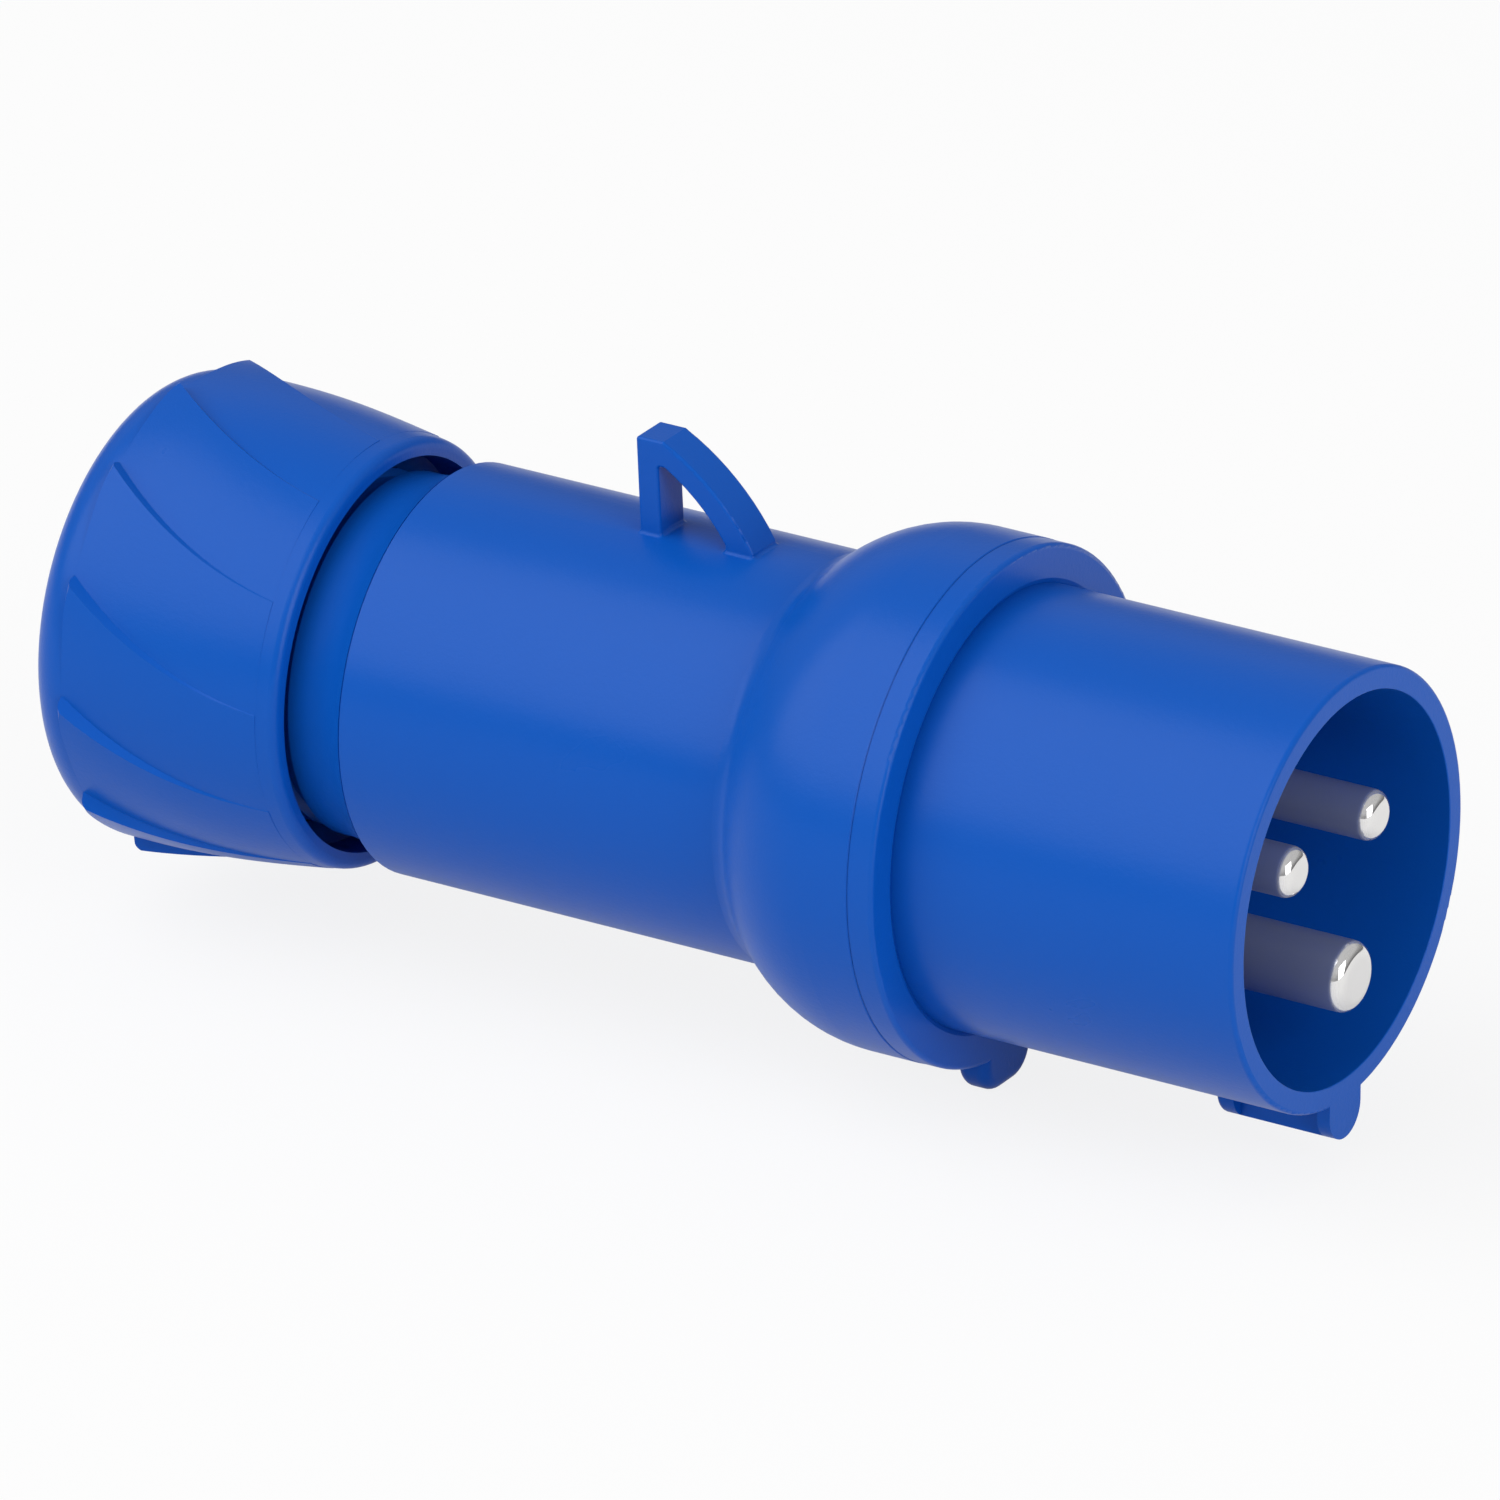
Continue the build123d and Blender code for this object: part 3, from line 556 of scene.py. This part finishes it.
    def world(self) -> None:
        """Lights the room softly from above, dimmer at the horizon, and white to the camera."""
        world = bpy.data.worlds.new("studio_world")
        bpy.context.scene.world = world
        world.use_nodes = True
        tree = world.node_tree
        room = tree.nodes["Background"]
        room.inputs["Color"].default_value = (1.0, 1.0, 1.0, 1.0)
        place = add_node(tree, "ShaderNodeTexCoord")
        split = add_node(tree, "ShaderNodeSeparateXYZ")
        height = add_node(tree, "ShaderNodeMapRange")
        height.interpolation_type = "SMOOTHSTEP"
        height.inputs["From Min"].default_value = 0.0
        height.inputs["From Max"].default_value = self.sky_full_at
        height.inputs["To Min"].default_value = self.sky_low
        height.inputs["To Max"].default_value = self.sky_high
        tree.links.new(place.outputs["Generated"], split.inputs[0])
        tree.links.new(split.outputs["Z"], height.inputs["Value"])
        tree.links.new(height.outputs["Result"], room.inputs["Strength"])
        seen = add_node(tree, "ShaderNodeBackground", Strength=1.0)
        seen.inputs["Color"].default_value = (1.0, 1.0, 1.0, 1.0)
        mix = tree.nodes.new("ShaderNodeMixShader")
        tree.links.new(self.white_mask(tree, 1.0, self.sky_mirrored), mix.inputs[0])
        tree.links.new(room.outputs[0], mix.inputs[1])
        tree.links.new(seen.outputs[0], mix.inputs[2])
        tree.links.new(mix.outputs[0], tree.nodes["World Output"].inputs["Surface"])

    def build(self) -> None:
        """Sets up the whole studio."""
        bpy.context.scene.view_settings.view_transform = "Standard"
        self.camera()
        self.floor()
        self.world()
        for lamp in self.lamps:
            lamp.hang(self.lamps_aim_at)
        log.info("studio: camera, floor, lamps and world")


# Modelling helpers


def active_mesh(name: str) -> bpy.types.Object:
    """Names the piece that an operator has just added and puts its place in its mesh.

    Args:
        name: The piece's name.

    Returns:
        The piece.
    """
    piece = bpy.context.object
    piece.name = name
    piece.data.name = name
    bpy.ops.object.transform_apply(location=True, rotation=True, scale=True)
    return piece


def select_vertices(piece: bpy.types.Object, wanted: Callable[[Vector], bool]) -> None:
    """Selects the vertices that pass a test and enters edit mode on them.

    Args:
        piece: The piece, in object mode.
        wanted: The test of a vertex's place.
    """
    bpy.ops.object.mode_set(mode="EDIT")
    bpy.ops.mesh.select_mode(type="VERT")
    bpy.ops.mesh.select_all(action="DESELECT")
    bpy.ops.object.mode_set(mode="OBJECT")
    for vertex in piece.data.vertices:
        vertex.select = wanted(vertex.co)
    bpy.ops.object.mode_set(mode="EDIT")


def leave_edit(piece: bpy.types.Object, smooth_deg: float) -> None:
    """Closes an edit: merges doubles, turns faces outwards and shades by angle.

    Args:
        piece: The piece, in edit mode.
        smooth_deg: The sharpest angle that still looks smooth.
    """
    bpy.ops.mesh.select_all(action="SELECT")
    bpy.ops.mesh.remove_doubles(threshold=MERGE_DISTANCE)
    bpy.ops.mesh.normals_make_consistent(inside=False)
    bpy.ops.object.mode_set(mode="OBJECT")
    bpy.ops.object.shade_smooth_by_angle(angle=math.radians(smooth_deg))
    log.info("piece %s: %d faces", piece.name, len(piece.data.polygons))


def apply_modifier(piece: bpy.types.Object, kind: str, **values: object) -> None:
    """Adds a modifier, sets it and applies it.

    Args:
        piece: The piece, active and in object mode.
        kind: The modifier's type.
        **values: Its settings.
    """
    modifier = piece.modifiers.new(kind.lower(), kind)
    for key, value in values.items():
        setattr(modifier, key, value)
    bpy.ops.object.modifier_apply(modifier=modifier.name)


# Rubber parts


@dataclass
class RubberSleeve:
    """A moulded rubber sleeve round the X axis, ribbed outside and lipped in its bore.

    Attributes:
        name: The piece's name.
        node: The CAD solid that it stands for.
        front_x: The X of its front face.
        rear_x: The X of its rear face.
        inner_r: The bore's radius at its lips.
        outer_r: The radius over its ribs.
        outer_ribs: The number of ribs outside.
        outer_depth: The depth between the ribs.
        bore_lips: The number of lips in the bore.
        bore_depth: The depth between the lips.
        steps_between: The number of steps from one rib or lip to the next.
        segments: The number of steps round it.
        bevel: The rounding of its edges.
        spun_smooth_deg: The sharpest angle that looks smooth before the rounding.
        smooth_deg: The sharpest angle that looks smooth after it.
    """

    name: str
    node: str
    front_x: float
    rear_x: float
    inner_r: float
    outer_r: float
    outer_ribs: int = 3
    outer_depth: float = 0.0005
    bore_lips: int = 3
    bore_depth: float = 0.0003
    steps_between: int = 8
    segments: int = 112
    bevel: float = 0.00018
    spun_smooth_deg: float = 40.0
    smooth_deg: float = 60.0

    def wave(self, x: float, count: int) -> float:
        """How deep the surface lies between two ribs, 0 on a rib and 1 between them."""
        share = (self.front_x - x) / (self.front_x - self.rear_x)
        return 0.5 - 0.5 * math.cos(FULL_TURN * share * (count - 1))

    def outline(self) -> bpy.types.Object:
        """Lays a strip of squares as the sleeve's section and pulls its grooves in.

        Returns:
            The strip, in the XY plane.
        """
        steps = self.steps_between * (max(self.outer_ribs, self.bore_lips) - 1)
        bpy.ops.object.select_all(action="DESELECT")
        middle = ((self.front_x + self.rear_x) / 2, (self.inner_r + self.outer_r) / 2, 0.0)
        bpy.ops.mesh.primitive_grid_add(x_subdivisions=steps, y_subdivisions=1, size=1.0,
                                        location=middle)
        strip = bpy.context.object
        strip.scale = (self.front_x - self.rear_x, self.outer_r - self.inner_r, 1.0)
        strip = active_mesh(self.name)
        halfway = (self.inner_r + self.outer_r) / 2
        places = sorted({round(vertex.co.x, 7) for vertex in strip.data.vertices})
        for x in places[1:-1]:
            outer_in = -self.outer_depth * self.wave(x, self.outer_ribs)
            inner_out = self.bore_depth * self.wave(x, self.bore_lips)
            for above, shift in ((True, outer_in), (False, inner_out)):
                select_vertices(strip, lambda co: (abs(co.x - x) < SAME_PLACE
                                                   and (co.y > halfway) == above))
                bpy.ops.transform.translate(value=(0.0, shift, 0.0))
                bpy.ops.object.mode_set(mode="OBJECT")
        return strip

    def build(self, material: bpy.types.Material) -> bpy.types.Object:
        """Spins the section round the axis, rounds its edges and sets it on its node.

        Args:
            material: The rubber.

        Returns:
            The finished sleeve.
        """
        sleeve = self.outline()
        bpy.ops.object.mode_set(mode="EDIT")
        bpy.ops.mesh.select_mode(type="EDGE")
        bpy.ops.mesh.select_all(action="SELECT")
        bpy.ops.mesh.delete(type="ONLY_FACE")
        bpy.ops.mesh.select_all(action="DESELECT")
        bpy.ops.object.mode_set(mode="OBJECT")
        end_faces = (self.front_x, self.rear_x)
        for edge in sleeve.data.edges:
            start, end = (sleeve.data.vertices[index].co for index in edge.vertices)
            across = abs(start.x - end.x) < SAME_PLACE
            edge.select = across and min(abs(start.x - x) for x in end_faces) > SAME_PLACE
        bpy.ops.object.mode_set(mode="EDIT")
        bpy.ops.mesh.delete(type="EDGE_FACE")
        bpy.ops.mesh.select_all(action="SELECT")
        bpy.ops.mesh.spin(steps=self.segments, angle=FULL_TURN, center=(0.0, 0.0, 0.0),
                          axis=(1.0, 0.0, 0.0))
        leave_edit(sleeve, self.spun_smooth_deg)
        apply_modifier(sleeve, "BEVEL", width=self.bevel, segments=3, limit_method="ANGLE",
                       angle_limit=math.radians(BEVEL_ABOVE_DEG))
        bpy.ops.object.shade_smooth_by_angle(angle=math.radians(self.smooth_deg))
        sleeve.data.materials.append(material)
        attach(sleeve, Body.HOUSING.value)
        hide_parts(self.node)
        return sleeve


@dataclass
class SealingRing:
    """The round rubber ring in the flange's groove, with the fine flash of its mould.

    Attributes:
        x: The ring's place along the axis.
        centre_r: The radius of its section's centre.
        section_r: The radius of its section.
        flash: How far the flash line stands out.
        segments: The number of steps round it.
        section_segments: The number of steps round its section.
        smooth_deg: The sharpest angle that looks smooth.
    """

    x: float = -3.95 * MM
    centre_r: float = 22.25 * MM
    section_r: float = 0.74 * MM
    flash: float = 0.00001
    segments: int = 144
    section_segments: int = 20
    smooth_deg: float = 60.0

    def build(self, material: bpy.types.Material) -> bpy.types.Object:
        """Adds the ring, raises its flash line and sets it on its node.

        Args:
            material: The rubber.

        Returns:
            The finished ring.
        """
        bpy.ops.object.select_all(action="DESELECT")
        bpy.ops.mesh.primitive_torus_add(
            major_radius=self.centre_r, minor_radius=self.section_r,
            major_segments=self.segments, minor_segments=self.section_segments,
            location=(self.x, 0.0, 0.0), rotation=(0.0, math.pi / 2, 0.0))
        ring = active_mesh("sealing_ring")
        outer_r = self.centre_r + self.section_r
        select_vertices(ring, lambda co: math.hypot(co.y, co.z) > outer_r - SAME_PLACE)
        grow = 1.0 + self.flash / outer_r
        bpy.ops.transform.resize(value=(1.0, grow, grow), center_override=(0.0, 0.0, 0.0))
        leave_edit(ring, self.smooth_deg)
        ring.data.materials.append(material)
        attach(ring, Body.FRONT.value)
        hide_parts("front_seal_ring")
        return ring


# Joint rim


@dataclass
class JointRim:
    """The low rim behind the flange that nearly closes the joint to the housing's collar.

    Attributes:
        front_x: Where its foot lies, just inside the flange.
        rear_x: Its face towards the collar.
        inner_r: The radius inside.
        outer_r: The radius outside, just under the flange's.
        segments: The number of steps round it.
        bevel: The rounding of its edges.
        smooth_deg: The sharpest angle that looks smooth.
    """

    front_x: float = -2.58 * MM
    rear_x: float = -2.72 * MM
    inner_r: float = 24.7 * MM
    outer_r: float = 25.44 * MM
    segments: int = 192
    bevel: float = 0.02 * MM
    smooth_deg: float = 40.0

    def build(self, material: bpy.types.Material) -> bpy.types.Object:
        """Draws the rim out of one circle, wall by wall, and closes it.

        Args:
            material: The moulding's material.

        Returns:
            The finished rim.
        """
        bpy.ops.object.select_all(action="DESELECT")
        bpy.ops.mesh.primitive_circle_add(vertices=self.segments, radius=self.outer_r,
                                          location=(self.front_x, 0.0, 0.0),
                                          rotation=(0.0, math.pi / 2, 0.0))
        rim = active_mesh("joint_rim")
        back = self.rear_x - self.front_x
        shrink = self.inner_r / self.outer_r
        bpy.ops.object.mode_set(mode="EDIT")
        bpy.ops.mesh.select_mode(type="EDGE")
        bpy.ops.mesh.select_all(action="SELECT")
        bpy.ops.mesh.extrude_region_move(TRANSFORM_OT_translate={"value": (back, 0.0, 0.0)})
        bpy.ops.mesh.extrude_region_move(TRANSFORM_OT_translate={"value": (0.0, 0.0, 0.0)})
        bpy.ops.transform.resize(value=(1.0, shrink, shrink),
                                 center_override=(self.rear_x, 0.0, 0.0))
        bpy.ops.mesh.extrude_region_move(TRANSFORM_OT_translate={"value": (-back, 0.0, 0.0)})
        bpy.ops.mesh.select_all(action="DESELECT")
        bpy.ops.mesh.select_non_manifold()
        bpy.ops.mesh.bridge_edge_loops()
        leave_edit(rim, self.smooth_deg)
        apply_modifier(rim, "BEVEL", width=self.bevel, segments=2, limit_method="ANGLE",
                       angle_limit=math.radians(BEVEL_ABOVE_DEG))
        rim.data.materials.append(material)
        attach(rim, Body.FRONT.value)
        return rim


# Thread


@dataclass
class ThreadRidge:
    """One helical ridge of the thread that joins the nut to the housing's neck.

    Attributes:
        name: The piece's name.
        body: The body that it rides on.
        root_r: The radius of the wall that it stands on.
        crest_r: The radius of its crest.
        front_x: Where it starts, the end nearer the mouth.
        turns: How many turns it makes, backwards.
        pitch: The distance between two turns.
        root_width: Its width at the wall.
        crest_width: Its width at the crest.
        sink: How deep its foot lies in the wall.
        steps: The number of steps in a turn.
        fade_steps: The number of steps over which each end fades out.
        fade_lead: How far the first section has risen already, in steps.
        smooth_deg: The sharpest angle that looks smooth.
    """

    name: str
    body: Body
    root_r: float
    crest_r: float
    front_x: float
    turns: int
    pitch: float = 0.003
    root_width: float = 0.0016
    crest_width: float = 0.0007
    sink: float = 0.00008
    steps: int = 72
    fade_steps: int = 14
    fade_lead: float = 0.4
    smooth_deg: float = 35.0

    def outline(self) -> bpy.types.Object:
        """Lays the ridge's trapezium section at its rear end.

        Returns:
            The section as a flat piece.
        """
        rear_x = self.front_x - self.pitch * self.turns
        inward = -1.0 if self.crest_r < self.root_r else 1.0
        foot_r = self.root_r - inward * self.sink
        middle = (foot_r + self.crest_r) / 2
        bpy.ops.object.select_all(action="DESELECT")
        bpy.ops.mesh.primitive_plane_add(size=1.0, location=(rear_x, middle, 0.0))
        plate = bpy.context.object
        plate.scale = (self.root_width, abs(self.crest_r - foot_r), 1.0)
        plate = active_mesh(self.name)
        select_vertices(plate, lambda co: (co.y - middle) * inward > 0)
        narrow = self.crest_width / self.root_width
        bpy.ops.transform.resize(value=(narrow, 1.0, 1.0),
                                 center_override=(rear_x, self.crest_r, 0.0))
        bpy.ops.object.mode_set(mode="OBJECT")
        return plate

    def build(self, material: bpy.types.Material) -> bpy.types.Object:
        """Screws the section forwards along the axis and fades both ends into the wall.

        Args:
            material: The moulding's material.

        Returns:
            The finished ridge.
        """
        ridge = self.outline()
        corners_each = len(ridge.data.vertices)
        bpy.ops.object.mode_set(mode="EDIT")
        bpy.ops.mesh.select_all(action="SELECT")
        bpy.ops.mesh.delete(type="ONLY_FACE")
        bpy.ops.object.mode_set(mode="OBJECT")
        apply_modifier(ridge, "SCREW", axis="X", angle=FULL_TURN * self.turns,
                       screw_offset=self.pitch * self.turns, iterations=1,
                       steps=self.steps * self.turns, render_steps=self.steps * self.turns,
                       use_merge_vertices=False)
        self.fade(ridge, corners_each)
        bpy.ops.object.mode_set(mode="EDIT")
        bpy.ops.mesh.select_mode(type="EDGE")
        bpy.ops.mesh.select_all(action="DESELECT")
        bpy.ops.mesh.select_non_manifold()
        bpy.ops.mesh.fill()
        leave_edit(ridge, self.smooth_deg)
        ridge.data.materials.append(material)
        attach(ridge, self.body.value)
        return ridge

    def fade(self, ridge: bpy.types.Object, corners_each: int) -> None:
        """Lowers the sections near both ends towards the wall.

        Args:
            ridge: The screwed ridge.
            corners_each: The number of corners in one section.
        """
        total = self.steps * self.turns + 1
        sections = self.sections(ridge, corners_each, total)
        for step in range(self.fade_steps):
            share = (step + self.fade_lead) / self.fade_steps
            for index in (step, total - 1 - step):
                for vertex in sections[index]:
                    radius = math.hypot(vertex.co.y, vertex.co.z)
                    lowered = self.root_r + (radius - self.root_r) * share
                    vertex.co.y *= lowered / radius
                    vertex.co.z *= lowered / radius

    def sections(self, ridge: bpy.types.Object, corners_each: int,
                 total: int) -> list[list[bpy.types.MeshVertex]]:
        """Sorts the ridge's vertices into its sections, rear end first.

        Args:
            ridge: The screwed ridge.
            corners_each: The number of corners in one section.
            total: The number of sections.

        Returns:
            The vertices of each section.
        """
        points = list(ridge.data.vertices)
        return [points[index * corners_each:(index + 1) * corners_each]
                for index in range(total)]


def dress_nodes(frame: dict, materials: dict[Slot, bpy.types.Material],
                pins: dict[str, bpy.types.Material]) -> None:
    """Gives every CAD node the material of its slot, or of its own where it has one.

    Args:
        frame: The loaded frame.
        materials: Each slot's material.
        pins: The materials of the contact pins by node.
    """
    slots = {entry["node"]: entry["material_slot"] for entry in frame["record"]["subparts"]}
    for name, node in frame["nodes"].items():
        material = pins.get(name, materials[Slot(slots[name])])
        if not node.material_slots:
            node.data.materials.append(material)
        for slot in node.material_slots:
            slot.material = material
        log.info("node %s: %s", name, material.name)


SEAL_FRONT_X = -69.75 * MM
SEAL_REAR_X = -76.55 * MM

SEAL_SLEEVES = (
    RubberSleeve("seal_sleeve_outer", "cable_seal_outer", SEAL_FRONT_X, SEAL_REAR_X,
                 inner_r=6.65 * MM, outer_r=14.3 * MM, outer_ribs=4, bore_lips=2,
                 bore_depth=0.0001),
    RubberSleeve("seal_sleeve_inner", "cable_seal_inner", SEAL_FRONT_X, SEAL_REAR_X,
                 inner_r=4.3 * MM, outer_r=6.6 * MM, outer_ribs=2, outer_depth=0.0001,
                 bore_lips=4, bore_depth=0.0005),
)

THREADS = (
    ThreadRidge("neck_thread", Body.HOUSING, root_r=16.7 * MM, crest_r=17.45 * MM,
                front_x=-70.9 * MM, turns=4),
    ThreadRidge("nut_thread", Body.NUT, root_r=17.6 * MM, crest_r=16.85 * MM,
                front_x=-75.4 * MM, turns=4),
)


def main(frame: dict) -> None:
    """Builds and dresses the plug in order.

    Args:
        frame: The loaded frame.
    """
    groups = Groups(grain_group(), drift_group(), turned_group())
    materials = {slot: finish.material(groups) for slot, finish in FINISHES.items()}
    pins = {name: finish.material(groups) for name, finish in PIN_FINISHES.items()}
    Studio().build()
    dress_nodes(frame, materials, pins)
    rubber = materials[Slot.RUBBER]
    for sleeve in SEAL_SLEEVES:
        sleeve.build(rubber)
    SealingRing().build(rubber)
    JointRim().build(materials[Slot.SHELL])
    for ridge in THREADS:
        ridge.build(materials[Slot.SHELL])


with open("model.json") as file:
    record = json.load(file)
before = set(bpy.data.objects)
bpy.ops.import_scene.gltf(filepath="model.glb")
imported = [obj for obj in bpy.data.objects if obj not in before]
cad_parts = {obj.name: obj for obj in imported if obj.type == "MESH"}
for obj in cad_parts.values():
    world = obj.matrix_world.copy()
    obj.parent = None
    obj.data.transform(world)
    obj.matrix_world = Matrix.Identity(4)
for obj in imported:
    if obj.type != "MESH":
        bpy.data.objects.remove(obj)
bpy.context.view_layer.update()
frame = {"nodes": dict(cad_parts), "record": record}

if __name__ == "__main__":
    main(frame)
